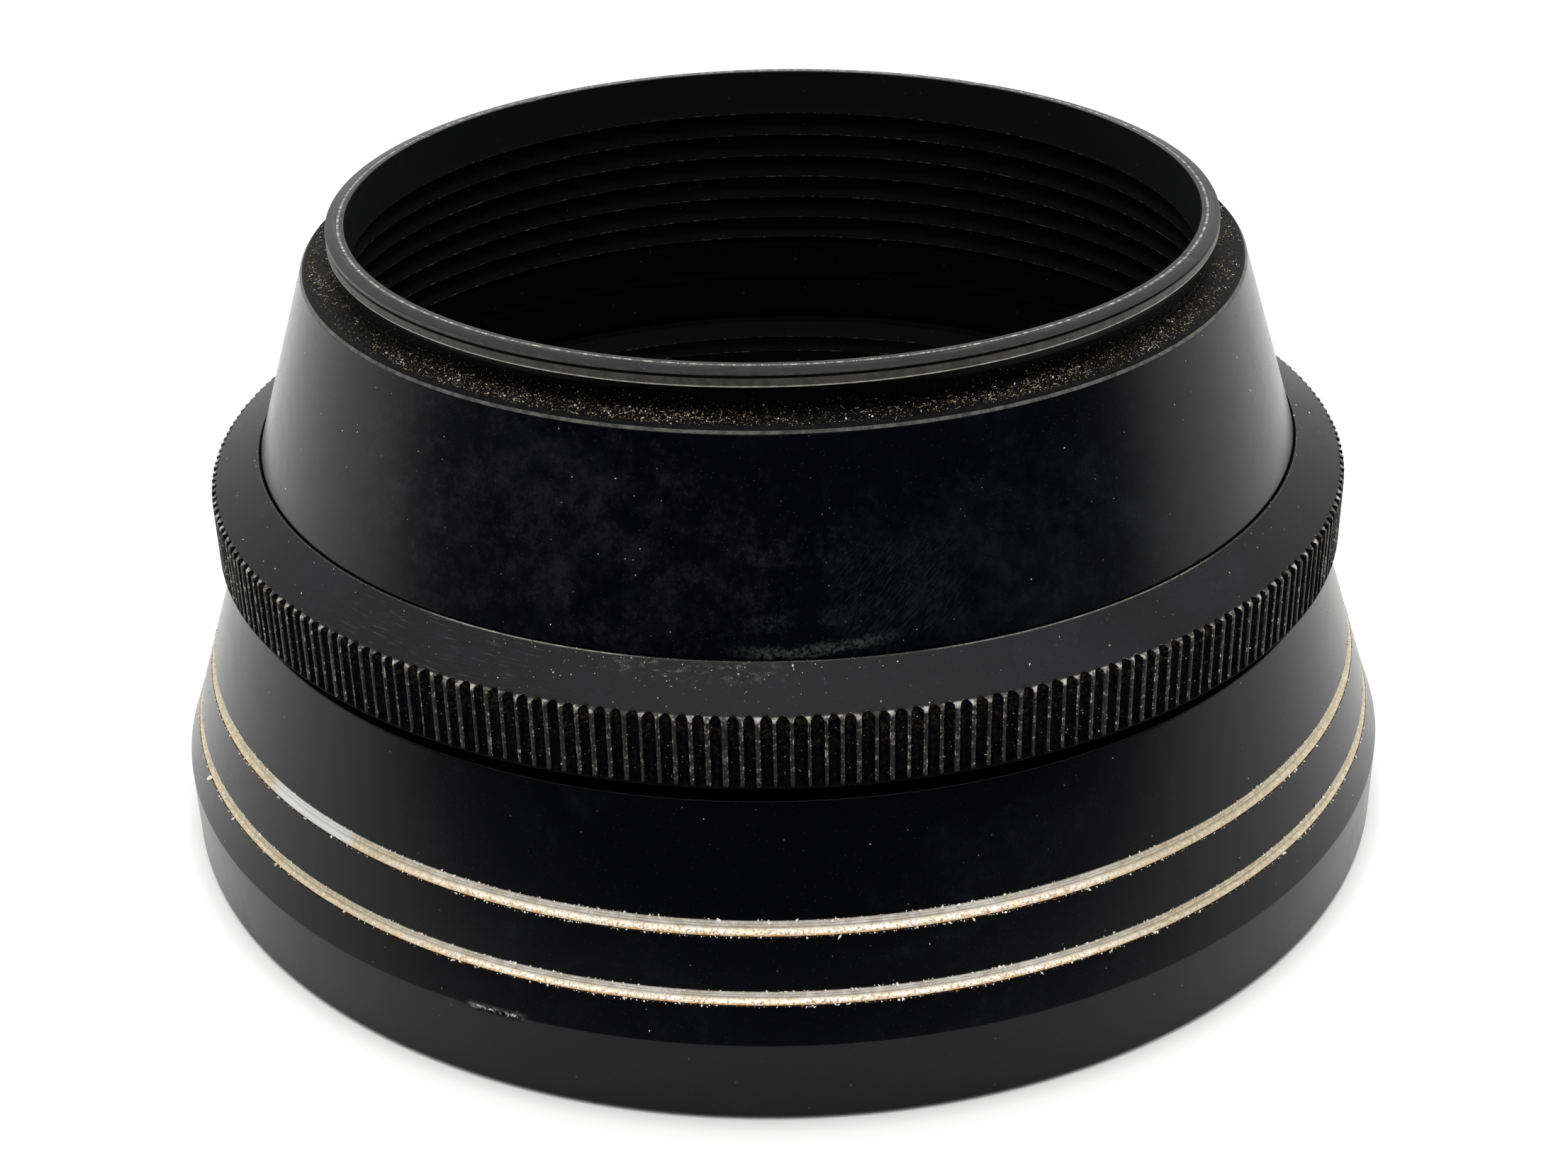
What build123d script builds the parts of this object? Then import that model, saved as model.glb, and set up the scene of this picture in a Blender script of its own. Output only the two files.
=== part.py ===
from build123d import *
import math
import os

os.makedirs("parts", exist_ok=True)

# A two-section screw-in metal lens hood, standing on its wide front mouth.
# The front shade is the base. The rear cone, with the thread that screws into
# the lens, seats on the shade's neck, and a knurled coupling ring, captive on
# the rear cone's flange, screws on the same neck and draws the two together.
# The hood is turned all over, so every piece is revolved about Z.
# Millimetres. +Z runs from the front mouth (z = 0) up to the lens end.

# ---- driving dimensions ----
height = 44.8
thread_r = 31.0             # M62 x 0.75 male thread at the lens end
thread_bottom_z = 43.89
thread_relief_r = 30.4
rim_outer_r = 30.3
neck_bore_r = 29.72
neck_bore_bottom_z = 41.3

shoulder_z = 41.95
shoulder_flat_r = 32.7
shoulder_edge_r = 33.03
shoulder_edge_z = 41.6
cone_foot_r = 37.15
cone_foot_z = 28.77

joint_z = 25.0              # rear cone seats on the front shade here
flange_r = 38.97
flange_bottom_z = 26.0
flange_top_z = 27.55
spigot_r = 38.0
rear_mouth_r = 35.6

ring_r = 40.87
ring_bottom_z = 21.9
ring_edge_z = 26.68         # top of the knurled wall
ring_lip_z = 27.6           # underside of the lip that holds the flange
ring_crown_z = 28.75
running_gap = 0.05          # radial clearance of the bearing and the coupling thread
knurl_count = 256
knurl_depth = 0.42
knurl_width = 0.68
knurl_bottom_z = 22.12

wire_section_r = 0.33       # spring wire that keeps the ring on the rear cone
wire_centre_r = 38.95
wire_z = 25.55
wire_groove_r = 39.4
wire_groove_half = 0.38
wire_arc = 342              # degrees; the wire ring is split

coupling_thread_r = 39.0    # male coupling thread on the front shade's neck
filter_seat_r = 37.6        # drop-in filter recess in the neck
filter_ledge_z = 20.3
ledge_r = 36.6
ledge_bottom_z = 18.8
neck_foot_z = 20.5

band_r = 45.0               # plain band round the front mouth
band_top_z = 5.85
cone_start_r = 44.88
cone_slope = 0.3375         # radius lost per millimetre of height
mouth_outer_r = 44.74
mouth_inner_r = 43.2
shade_wall = 2.9

trim_depth = 0.5
trim_recess = 0.04
upper_trim_z = (12.39, 13.38)
lower_trim_z = (8.22, 9.10)

ridge_pitch = 2.04          # anti-reflection ridges, both sections
ridge_depth = 0.55
ridge_undercut = 0.2
chamfer_size = 0.3


def shade_r(z):
    """Outside radius of the front shade's cone at height z."""
    return cone_start_r - cone_slope * (z - band_top_z)


def ridges(crest_r, top_z, count, depth):
    """Saw-tooth bore going down: each crest overhangs the groove below it."""
    points = []
    for i in range(count):
        z = top_z - i * ridge_pitch
        points.append((crest_r(z), z))
        points.append((crest_r(z) + depth, z - ridge_undercut))
    return points


def trim_groove(z_range):
    """Outline of one trim groove in the shade's cone, from its lower edge up."""
    low, high = z_range
    return [
        (shade_r(low), low),
        (shade_r(low) - trim_depth, low),
        (shade_r(high) - trim_depth, high),
        (shade_r(high), high),
    ]


def trim_section(z_range):
    """Outline of one trim ring, sunk a hair below the cone."""
    low, high = z_range
    return [
        (shade_r(low) - trim_depth, low),
        (shade_r(low) - trim_recess, low),
        (shade_r(high) - trim_recess, high),
        (shade_r(high) - trim_depth, high),
    ]


# ---- front shade: flared cone, plain band, neck with the filter seat ----
shade_outline = [
    (mouth_outer_r, 0),
    (band_r, chamfer_size),
    (band_r, band_top_z),
    (cone_start_r, band_top_z),
    *trim_groove(lower_trim_z),
    *trim_groove(upper_trim_z),
    (shade_r(neck_foot_z), neck_foot_z),
    (coupling_thread_r - 0.4, neck_foot_z),
    (coupling_thread_r - 0.4, ring_bottom_z - 0.5),
    (coupling_thread_r, ring_bottom_z - 0.1),
    (coupling_thread_r, joint_z - chamfer_size),
    (coupling_thread_r - chamfer_size, joint_z),
    (filter_seat_r, joint_z),
    (filter_seat_r, filter_ledge_z),
    (ledge_r, filter_ledge_z),
    (ledge_r, ledge_bottom_z),
    (shade_r(ledge_bottom_z) - shade_wall + ridge_depth, ledge_bottom_z - ridge_undercut),
    *ridges(lambda z: shade_r(z) - shade_wall, ledge_bottom_z - ridge_pitch, 7, ridge_depth),
    (mouth_inner_r - chamfer_size, 1.2),
    (mouth_inner_r, 0),
]
with BuildPart() as front_shade:
    with BuildSketch(Plane.XZ):
        with BuildLine():
            Polyline(*shade_outline, close=True)
        make_face()
    revolve(axis=Axis.Z)
front_shade.part.label = "front_shade"
export_step(front_shade.part, "parts/front_shade.step")

# ---- trim rings: two bright metal rings let into the shade's cone ----
with BuildPart() as upper_trim_ring:
    with BuildSketch(Plane.XZ):
        with BuildLine():
            Polyline(*trim_section(upper_trim_z), close=True)
        make_face()
    revolve(axis=Axis.Z)
upper_trim_ring.part.label = "upper_trim_ring"
export_step(upper_trim_ring.part, "parts/upper_trim_ring.step")

with BuildPart() as lower_trim_ring:
    with BuildSketch(Plane.XZ):
        with BuildLine():
            Polyline(*trim_section(lower_trim_z), close=True)
        make_face()
    revolve(axis=Axis.Z)
lower_trim_ring.part.label = "lower_trim_ring"
export_step(lower_trim_ring.part, "parts/lower_trim_ring.step")

# ---- rear cone: lens thread, shoulder, cone, flange and ridged bore ----
last_ridge_z = neck_bore_bottom_z - 6 * ridge_pitch
rear_slope = (rear_mouth_r - neck_bore_r) / (neck_bore_bottom_z - joint_z)
cone_outline = [
    (spigot_r, joint_z),
    (spigot_r, flange_bottom_z),
    (flange_r, flange_bottom_z),
    (flange_r, flange_top_z),
    (cone_foot_r, flange_top_z),
    (cone_foot_r, cone_foot_z),
    (shoulder_edge_r, shoulder_edge_z),
    (shoulder_flat_r, shoulder_z),
    (thread_relief_r, shoulder_z),
    (thread_relief_r, thread_bottom_z - chamfer_size),
    (thread_r, thread_bottom_z),
    (thread_r, height - chamfer_size),
    (rim_outer_r, height),
    (neck_bore_r, height),
    *ridges(
        lambda z: neck_bore_r + rear_slope * (neck_bore_bottom_z - z),
        neck_bore_bottom_z,
        7,
        rear_slope * ridge_pitch + 0.15,
    ),
    (rear_mouth_r - 0.9, last_ridge_z - 1.0),
    (rear_mouth_r + 0.4, last_ridge_z - 1.2),
    (rear_mouth_r + 0.4, joint_z + 0.6),
    (rear_mouth_r, joint_z + chamfer_size),
    (rear_mouth_r, joint_z),
]
with BuildPart() as rear_cone:
    with BuildSketch(Plane.XZ):
        with BuildLine():
            Polyline(*cone_outline, close=True)
        make_face()
    revolve(axis=Axis.Z)
rear_cone.part.label = "rear_cone"
export_step(rear_cone.part, "parts/rear_cone.step")

# ---- coupling ring: sloped crown, lip over the flange, straight knurl ----
ring_bore_r = coupling_thread_r + running_gap
lip_bore_r = cone_foot_r + running_gap
ring_outline = [
    (ring_bore_r + chamfer_size, ring_bottom_z),
    (ring_r - 0.12, ring_bottom_z),
    (ring_r, ring_bottom_z + 0.12),
    (ring_r, ring_edge_z),
    (lip_bore_r + 0.1, ring_crown_z),
    (lip_bore_r, ring_crown_z - 0.1),
    (lip_bore_r, ring_lip_z),
    (ring_bore_r, ring_lip_z),
    (ring_bore_r, wire_z + wire_groove_half),
    (wire_groove_r, wire_z + wire_groove_half),
    (wire_groove_r, wire_z - wire_groove_half),
    (ring_bore_r, wire_z - wire_groove_half),
    (ring_bore_r, ring_bottom_z + chamfer_size),
]
with BuildPart() as coupling_ring:
    with BuildSketch(Plane.XZ):
        with BuildLine():
            Polyline(*ring_outline, close=True)
        make_face()
    revolve(axis=Axis.Z)
    with BuildSketch(Plane.XY.offset(knurl_bottom_z)):
        with PolarLocations(ring_r, knurl_count):
            Polygon(
                (-knurl_depth, 0),
                (knurl_depth / 4, knurl_width * 5 / 8),
                (knurl_depth / 4, -knurl_width * 5 / 8),
                align=None,
            )
    extrude(amount=ring_crown_z - knurl_bottom_z, mode=Mode.SUBTRACT)
coupling_ring.part.label = "coupling_ring"
export_step(coupling_ring.part, "parts/coupling_ring.step")

# ---- keeper wire: split spring ring in the coupling ring's groove ----
with BuildPart() as keeper_wire:
    with BuildSketch(Plane.XZ):
        with Locations((wire_centre_r, wire_z)):
            Circle(wire_section_r)
    revolve(axis=Axis.Z, revolution_arc=wire_arc)
keeper_wire.part.label = "keeper_wire"
export_step(keeper_wire.part, "parts/keeper_wire.step")
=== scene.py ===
"""Looks of the lens hood: turned black metal, straight knurl, bright trim lines, wear and dust."""

import math
from functools import partialmethod

import bpy
import numpy as np
from mathutils import Matrix, Vector


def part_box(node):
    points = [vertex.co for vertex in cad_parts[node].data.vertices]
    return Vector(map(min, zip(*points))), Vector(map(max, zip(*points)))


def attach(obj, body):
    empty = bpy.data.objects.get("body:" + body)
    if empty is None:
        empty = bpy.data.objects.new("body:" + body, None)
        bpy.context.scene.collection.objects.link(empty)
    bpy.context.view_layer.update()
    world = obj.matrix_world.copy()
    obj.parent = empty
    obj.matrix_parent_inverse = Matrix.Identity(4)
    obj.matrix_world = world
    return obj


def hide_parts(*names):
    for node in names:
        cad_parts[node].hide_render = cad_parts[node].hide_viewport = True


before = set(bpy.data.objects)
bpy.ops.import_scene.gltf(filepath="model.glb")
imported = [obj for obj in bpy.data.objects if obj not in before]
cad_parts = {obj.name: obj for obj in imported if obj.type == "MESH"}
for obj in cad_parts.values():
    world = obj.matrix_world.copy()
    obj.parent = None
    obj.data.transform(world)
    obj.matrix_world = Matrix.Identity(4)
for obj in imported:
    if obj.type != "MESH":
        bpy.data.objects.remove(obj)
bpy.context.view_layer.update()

MM = 0.001


def cad_mm(node):
    """(radius, lowest z, highest z) of a round CAD node, in millimetres."""
    low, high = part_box(node)
    return high.x / MM, low.z / MM, high.z / MM


# ---------------- sizes, in millimetres
band_r, mouth_z, _ = cad_mm("front_shade")
_, joint_z, top_z = cad_mm("rear_cone")
ring_r, ring_bottom_z, ring_crown_z = cad_mm("coupling_ring")
_, upper_trim_low, upper_trim_high = cad_mm("upper_trim_ring")
_, lower_trim_low, lower_trim_high = cad_mm("lower_trim_ring")

# rear cone
thread_r = 31.0
thread_pitch = 0.75
thread_root_r = 30.80
thread_crest = 0.52         # the crests are worn wide
thread_angle = 60           # degrees between the flanks
thread_turns = 3
thread_fade = 0.07          # share of a turn over which the lowest turn fades in
lead_slope = 4.2            # radius gained per millimetre down from the rim, at the thread's lead
thread_start = -110         # azimuth in degrees, at the back left, where the lowest turn fades in
thread_low_z = top_z - 1.29     # lower edge of the crest there
relief_r = 30.4
rim_outer_r = 30.3
neck_bore_r = 29.72
neck_bore_bottom_z = 41.3
shoulder_z = 41.95
shoulder_flat_r = 32.7
shoulder_edge_r = 33.03
shoulder_edge_z = 41.6
cone_foot_r = 37.15
cone_foot_z = 28.77
flange_r, flange_low_z, flange_high_z = 38.97, 26.0, 27.55
spigot_r = 38.0
rear_mouth_r = 35.6

# front shade
band_top_z = 5.85
cone_start_r = 44.88
cone_slope = 0.3375
mouth_inner_r = 43.2
neck_foot_z = 20.5
neck_r = 39.0
filter_seat_r = 37.6
filter_ledge_z = 20.3
ledge_r = 36.6
ledge_bottom_z = 18.8
shade_wall = 2.9
trim_depth = 0.5

# anti-reflection ridges in both bores
ridge_count = 7
ridge_pitch = 2.04
ridge_depth = 0.55
ridge_undercut = 0.2

# coupling ring
knurl_count = 256
knurl_depth = 0.42
knurl_land = 0.17           # share of the pitch left as land
knurl_bottom_z = 22.12
ring_edge_z = 26.68
running_gap = 0.05
lip_bore_r = cone_foot_r + running_gap
lip_edge = 0.1              # broken edge between the crown and the lip's bore
ring_bore_r = neck_r + running_gap
ring_lip_z = 27.6
crown_fall = (ring_crown_z - ring_edge_z) / (ring_r - lip_bore_r - lip_edge)
wire_z = 25.55
wire_groove_r = 39.4
wire_groove_half = 0.38


def shade_r(z):
    """Outside radius of the front shade's cone, which starts flush with the band."""
    straight = cone_start_r - cone_slope * (z - band_top_z)
    rise = np.clip((lower_trim_low - z) / (lower_trim_low - band_top_z), 0, 1)
    return straight + (band_r - cone_start_r) * rise


def cone_r(z):
    """Outside radius of the rear cone."""
    slope = (cone_foot_r - shoulder_edge_r) / (shoulder_edge_z - cone_foot_z)
    return shoulder_edge_r + (shoulder_edge_z - z) * slope


def crown_z(r):
    """Height of the coupling ring's sloped crown."""
    return ring_edge_z + (ring_r - r) * crown_fall


# ---------------- mesh building

def make_object(name, vertices, faces, tags=None, smooth=True):
    """A mesh object from points in millimetres and an (n, 4) or (n, 3) array of faces."""
    mesh = bpy.data.meshes.new(name)
    corners = faces.shape[1]
    mesh.vertices.add(len(vertices))
    mesh.vertices.foreach_set("co", (np.asarray(vertices) * MM).astype(np.float32).ravel())
    mesh.loops.add(faces.size)
    mesh.loops.foreach_set("vertex_index", faces.astype(np.int32).ravel())
    mesh.polygons.add(len(faces))
    mesh.polygons.foreach_set("loop_start", np.arange(0, faces.size, corners, dtype=np.int32))
    if tags is not None:
        mesh.polygons.foreach_set("material_index", tags.astype(np.int32))
    mesh.polygons.foreach_set("use_smooth", np.full(len(faces), smooth))
    mesh.update(calc_edges=True)
    mesh.validate()
    item = bpy.data.objects.new(name, mesh)
    bpy.context.scene.collection.objects.link(item)
    return item


def soften(corners, longest=1.2, support=0.05):
    """Rounds the corners of a closed outline of (r, z, bevel, tag) and splits its long runs.

    The tag belongs to the run that starts at the corner. Returns rows of (r, z, tag).
    """
    rows = []
    count = len(corners)
    for i, (r, z, bevel, tag) in enumerate(corners):
        here = np.array((r, z))
        before = np.array(corners[i - 1][:2]) - here
        after = np.array(corners[(i + 1) % count][:2]) - here
        before_tag = corners[i - 1][3]
        if bevel > 0:
            cut = min(bevel, 0.4 * np.linalg.norm(before), 0.4 * np.linalg.norm(after))
            start = here + before / np.linalg.norm(before) * cut
            end = here + after / np.linalg.norm(after) * cut
            for t in np.linspace(0, 1, 4):
                point = (1 - t) ** 2 * start + 2 * t * (1 - t) * here + t ** 2 * end
                rows.append((*point, tag if t > 0.5 else before_tag))
        else:
            end = here
            rows.append((r, z, tag))
        stop = here + after
        next_bevel = corners[(i + 1) % count][2]
        if next_bevel > 0:
            next_after = np.array(corners[(i + 2) % count][:2]) - stop
            stop = stop - after / np.linalg.norm(after) * min(
                next_bevel, 0.4 * np.linalg.norm(after), 0.4 * np.linalg.norm(next_after)
            )
        run = stop - end
        length = np.linalg.norm(run)
        if length > 4 * support:
            pieces = max(1, math.ceil((length - 2 * support) / longest))
            inner = np.linspace(support, length - support, pieces + 1)
            for d in inner:
                rows.append((*(end + run / length * d), tag))
    return rows


def turn(name, rows, columns, shape=None):
    """Revolves the closed rows of (r, z, tag). shape(r, z, azimuth) returns changed r and z grids."""
    r = np.array([row[0] for row in rows])[:, None] * np.ones((1, columns))
    z = np.array([row[1] for row in rows])[:, None] * np.ones((1, columns))
    azimuth = np.linspace(0, 2 * math.pi, columns, endpoint=False)[None, :]
    if shape:
        r, z = shape(r, z, azimuth)
    vertices = np.stack((r * np.sin(azimuth), -r * np.cos(azimuth), z), axis=-1).reshape(-1, 3)
    n = len(rows)
    i = np.arange(n)[:, None]
    j = np.arange(columns)[None, :]
    next_i, next_j = (i + 1) % n, (j + 1) % columns
    faces = np.stack(
        (i * columns + j, i * columns + next_j, next_i * columns + next_j, next_i * columns + j), axis=-1
    ).reshape(-1, 4)
    tags = np.repeat([row[2] for row in rows], columns)
    return make_object(name, vertices, faces, tags)


def degrees_from(azimuth, centre):
    """Signed angle in degrees of azimuth from a centre given in degrees."""
    return (np.degrees(azimuth) - centre + 180) % 360 - 180


def waves(azimuth, seed, lowest=3, highest=40, count=24):
    """Smooth random curve round the ring, about -1 to 1, made of whole-number waves."""
    random = np.random.default_rng(seed)
    total = np.zeros_like(azimuth)
    for k in np.linspace(lowest, highest, count).astype(int):
        total = total + random.normal() * np.sin(k * azimuth + random.uniform(0, 2 * math.pi))
    return total / math.sqrt(count / 2)


# ---------------- material building

class Nodes:
    """Short calls for building a node tree."""

    def __init__(self, tree):
        self.tree = tree

    def put(self, socket, value):
        if isinstance(value, bpy.types.NodeSocket):
            self.tree.links.new(value, socket)
        else:
            socket.default_value = value

    def node(self, kind, **settings):
        made = self.tree.nodes.new(kind)
        for key, value in settings.items():
            setattr(made, key, value)
        return made

    def split(self, vector):
        parts = self.node("ShaderNodeSeparateXYZ")
        self.put(parts.inputs[0], vector)
        return parts.outputs

    def math(self, operation, *values):
        made = self.node("ShaderNodeMath", operation=operation)
        for socket, value in zip(made.inputs, values):
            self.put(socket, value)
        return made.outputs[0]

    def chain(self, operation, first, *others):
        """Works an operation of two values through a row of them, from the left."""
        result = first
        for value in others:
            result = self.math(operation, result, value)
        return result

    plus = partialmethod(chain, "ADD")
    times = partialmethod(chain, "MULTIPLY")
    most = partialmethod(chain, "MAXIMUM")
    minus = partialmethod(math, "SUBTRACT")
    over = partialmethod(math, "DIVIDE")
    more_than = partialmethod(math, "GREATER_THAN")
    less_than = partialmethod(math, "LESS_THAN")

    def step(self, value, low, high, to_low=0.0, to_high=1.0):
        """Smooth step of value from low to high."""
        made = self.node("ShaderNodeMapRange", interpolation_type="SMOOTHSTEP")
        for socket, item in zip(made.inputs, (value, low, high, to_low, to_high)):
            self.put(socket, item)
        return made.outputs[0]

    def near(self, value, centre, half, soft):
        """1 where value is within half of centre, falling to 0 over soft."""
        distance = self.math("ABSOLUTE", self.minus(value, centre))
        return self.step(distance, half, half + soft, 1.0, 0.0)


class Graph(Nodes):
    """A new material's nodes, with the place on the surface in millimetres."""

    def __init__(self, name):
        self.material = bpy.data.materials.new(name)
        self.material.use_nodes = True
        super().__init__(self.material.node_tree)
        self.shader = self.tree.nodes["Principled BSDF"]
        scaled = self.node("ShaderNodeVectorMath", operation="SCALE")
        self.put(scaled.inputs[0], self.node("ShaderNodeTexCoord").outputs["Object"])
        self.put(scaled.inputs["Scale"], 1 / MM)
        self.mm = scaled.outputs["Vector"]
        x, y, self.z = self.split(self.mm)
        self.r = self.math("SQRT", self.plus(self.times(x, x), self.times(y, y)))
        self.azimuth = self.math("ARCTAN2", x, self.times(y, -1.0))

    def join(self, x, y, z):
        made = self.node("ShaderNodeCombineXYZ")
        for socket, value in zip(made.inputs, (x, y, z)):
            self.put(socket, value)
        return made.outputs[0]

    def noise(self, scale, detail=3.0, roughness=0.55, vector=None, distortion=0.0):
        """Noise in cells per millimetre, about 0 to 1."""
        made = self.node("ShaderNodeTexNoise")
        self.put(made.inputs["Vector"], self.mm if vector is None else vector)
        self.put(made.inputs["Scale"], scale)
        self.put(made.inputs["Detail"], detail)
        self.put(made.inputs["Roughness"], roughness)
        self.put(made.inputs["Distortion"], distortion)
        return made.outputs[0]

    def patches(self, scale, detail, roughness, low, high, **more):
        """Noise sharpened into patches: 0 where it is under low, 1 where it is over high."""
        return self.step(self.noise(scale, detail, roughness, **more), low, high)

    def specks(self, spacing, size, share):
        """Round specks: one feature point per cell of that spacing, in millimetres; a share of them shows."""
        made = self.node("ShaderNodeTexVoronoi")
        self.put(made.inputs["Vector"], self.mm)
        self.put(made.inputs["Scale"], 1 / spacing)
        reach = size / spacing
        dot = self.step(made.outputs["Distance"], reach * 0.6, reach, 1.0, 0.0)
        parts = self.node("ShaderNodeSeparateColor")
        self.put(parts.inputs[0], made.outputs["Color"])
        return self.times(dot, self.less_than(parts.outputs[0], share))

    def mix(self, factor, a, b):
        """A colour between a and b; a colour may be (r, g, b) or a socket."""
        made = self.node("ShaderNodeMix", data_type="RGBA")
        self.put(made.inputs["Factor"], factor)
        self.put(made.inputs["A"], (*a, 1.0) if isinstance(a, tuple) else a)
        self.put(made.inputs["B"], (*b, 1.0) if isinstance(b, tuple) else b)
        return made.outputs["Result"]

    def blend(self, factor, a, b):
        """A number between a and b."""
        made = self.node("ShaderNodeMix", data_type="FLOAT")
        self.put(made.inputs["Factor"], factor)
        self.put(made.inputs["A"], a)
        self.put(made.inputs["B"], b)
        return made.outputs["Result"]

    def bump(self, height, depth):
        """Surface relief: height 0 to 1 is depth millimetres deep."""
        made = self.node("ShaderNodeBump")
        self.put(made.inputs["Strength"], 1.0)
        self.put(made.inputs["Distance"], depth * MM)
        self.put(made.inputs["Height"], height)
        self.put(self.shader.inputs["Normal"], made.outputs[0])

    def finish(self, colour, roughness, metallic=0.0, specular=0.5):
        self.shader.inputs["Specular IOR Level"].default_value = specular
        self.put(self.shader.inputs["Base Color"], colour)
        self.put(self.shader.inputs["Roughness"], roughness)
        self.put(self.shader.inputs["Metallic"], metallic)
        return self.material


SHEEN = 0.16                # specular level of the anodised outside
BLACK = (0.0010, 0.0012, 0.0021)
SMUDGED_BLACK = (0.024, 0.026, 0.033)
WORN_BLACK = (0.030, 0.030, 0.031)
# colour of the painted light on the ridges and plain bore of the bores
LIT_BLACK = (0.0150, 0.0156, 0.0156)
PALE_DUST = (0.50, 0.47, 0.41)
FLAT_DIRT = (0.10, 0.085, 0.055)
SILT = (0.040, 0.031, 0.020)
PALE_SCUFF = (0.060, 0.064, 0.058)
WIPED = (0.022, 0.024, 0.032)
PURPLE_GREASE = (0.021, 0.020, 0.024)
BLUE_GREASE = (0.016, 0.019, 0.022)
BARE_EDGE = (0.45, 0.45, 0.42)
BARE_THREAD = (0.42, 0.41, 0.38)
BARE_KNURL = (0.50, 0.48, 0.43)


def turned_lines(g, per_mm=7.0):
    """Fine concentric tool marks: noise that changes only with radius and height."""
    wobble = g.times(g.noise(0.15, 1.0), 0.08)
    return g.noise(per_mm, 2.0, 0.7, vector=g.join(g.r, g.plus(g.z, wobble), 0.0))


def black_finish(name, roughness=0.24, dust=1.0, haze=0.0, smudges=0.10):
    """Satin black anodised metal with tool marks, grain, smudges and fine specks of dust."""
    g = Graph(name)
    lines = turned_lines(g)
    grain = g.noise(14.0, 2.0, 0.6)
    smudge = g.patches(0.13, 6.0, 0.66, 0.46, 0.78, distortion=0.8)
    film = g.times(smudge, g.blend(g.patches(0.9, 4.0, 0.7, 0.45, 0.75), 0.35, 1.0))
    colour = g.mix(g.times(film, smudges), BLACK, SMUDGED_BLACK)
    if haze:
        colour = g.mix(haze, colour, WORN_BLACK)
    fine_dust = g.times(g.specks(0.33, 0.035, 0.85), 0.05 * dust)
    dim_specks = g.times(g.specks(0.9, 0.055, 0.35 * dust), 0.22)
    bright_specks = g.times(g.specks(3.1, 0.08, 0.12 * dust), 0.9)
    fleck = g.most(fine_dust, dim_specks, bright_specks)
    colour = g.mix(fleck, colour, PALE_DUST)
    rough = g.plus(roughness, g.times(g.minus(grain, 0.5), 0.16), g.times(film, 0.14))
    g.bump(g.plus(g.times(lines, 0.5), g.times(grain, 0.5)), 0.003)
    return g, colour, g.blend(fleck, rough, 0.9)


def turned_from(g, centre):
    """Signed angle in radians of a point's azimuth from a centre given in degrees, 0 being the front."""
    return g.math("WRAP", g.minus(g.azimuth, math.radians(centre)), math.pi, -math.pi)


def sector(g, centre, half, soft):
    """1 within half degrees of an azimuth, falling to 0 over soft degrees."""
    return g.near(turned_from(g, centre), 0.0, math.radians(half), math.radians(soft))


def patch(g, azimuth, z, half_azimuth, half_z):
    """A ragged oval patch at an azimuth in degrees and a height: 1 inside, 0 outside."""
    across = g.over(turned_from(g, azimuth), math.radians(half_azimuth))
    up = g.over(g.minus(g.z, z), half_z)
    ragged = g.times(g.minus(g.noise(1.7, 4.0, 0.65), 0.5), 2.4)
    return g.step(g.plus(g.times(across, across), g.times(up, up), ragged), 0.15, 1.0, 1.0, 0.0)


def streaked(g, scale, detail, roughness, per_radian, across, per_mm):
    """Noise that follows the hood round, in cells per radian of azimuth and per millimetre across."""
    place = g.join(g.times(g.azimuth, per_radian), g.times(across, per_mm), 0.0)
    return g.noise(scale, detail, roughness, vector=place)


def cone_finish(name):
    """Outside of the rear cone: films of grease, wipe marks, and a scuffed crescent at the foot."""
    g, colour, rough = black_finish(name, smudges=0.22)
    film = g.patches(0.42, 8.0, 0.78, 0.40, 0.70)
    speckled = g.step(g.noise(5.0, 4.0, 0.8), 0.30, 0.70, 0.35, 1.2)
    for place, amount, tint in (
        ((-28.0, 34.6, 34.0, 8.0), 0.62, PURPLE_GREASE),
        ((26.0, 33.5, 30.0, 7.0), 0.30, BLUE_GREASE),
    ):
        colour = g.mix(g.times(patch(g, *place), film, speckled, amount), colour, tint)

    lean = g.plus(g.times(g.azimuth, 55.0), g.times(g.z, -1.4))
    strokes = g.noise(3.2, 3.0, 0.6, vector=g.join(lean, g.times(g.z, 0.45), 0.0))
    wipe = g.times(sector(g, 11.5, 3.5, 5.0), g.near(g.z, 32.2, 1.6, 2.0), g.step(strokes, 0.48, 0.66))
    colour = g.mix(g.times(wipe, 0.26), colour, WIPED)

    right = g.most(g.times(g.azimuth, 180 / math.pi), 0.0)
    path = g.plus(g.times(right, right, 0.006), cone_foot_z + 0.37)
    strayed = g.plus(g.minus(g.z, path), g.times(g.minus(g.noise(1.5, 5.0, 0.75), 0.5), 1.3))
    scuff = g.most(
        g.times(sector(g, 3.2, 4.0, 5.0), g.near(strayed, 0.0, 0.10, 0.36)),
        g.times(patch(g, -1.2, 30.8, 2.6, 0.65), 0.20),
        g.times(patch(g, 5.2, 31.1, 2.0, 0.75), 0.24),
    )
    colour = g.mix(g.times(scuff, g.patches(4.0, 5.0, 0.78, 0.40, 0.66), 0.85), colour, PALE_SCUFF)
    return g.finish(colour, rough, specular=SHEEN)


def shade_finish(name):
    """Outside of the front shade, with bare metal in the knocks on the band's edges."""
    g, colour, rough = black_finish(name, dust=0.8)
    top = g.times(sector(g, -24.3, 2.0, 0.8), g.near(g.z, band_top_z, 0.10, 0.12))
    foot = g.times(sector(g, -30.8, 2.2, 0.8), g.near(g.z, 0.12, 0.12, 0.12))
    bare = g.times(g.most(top, foot), g.patches(3.0, 4.0, 0.7, 0.45, 0.58))
    colour = g.mix(g.times(bare, 0.25), colour, BARE_EDGE)
    return g.finish(colour, rough, specular=SHEEN)


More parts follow.
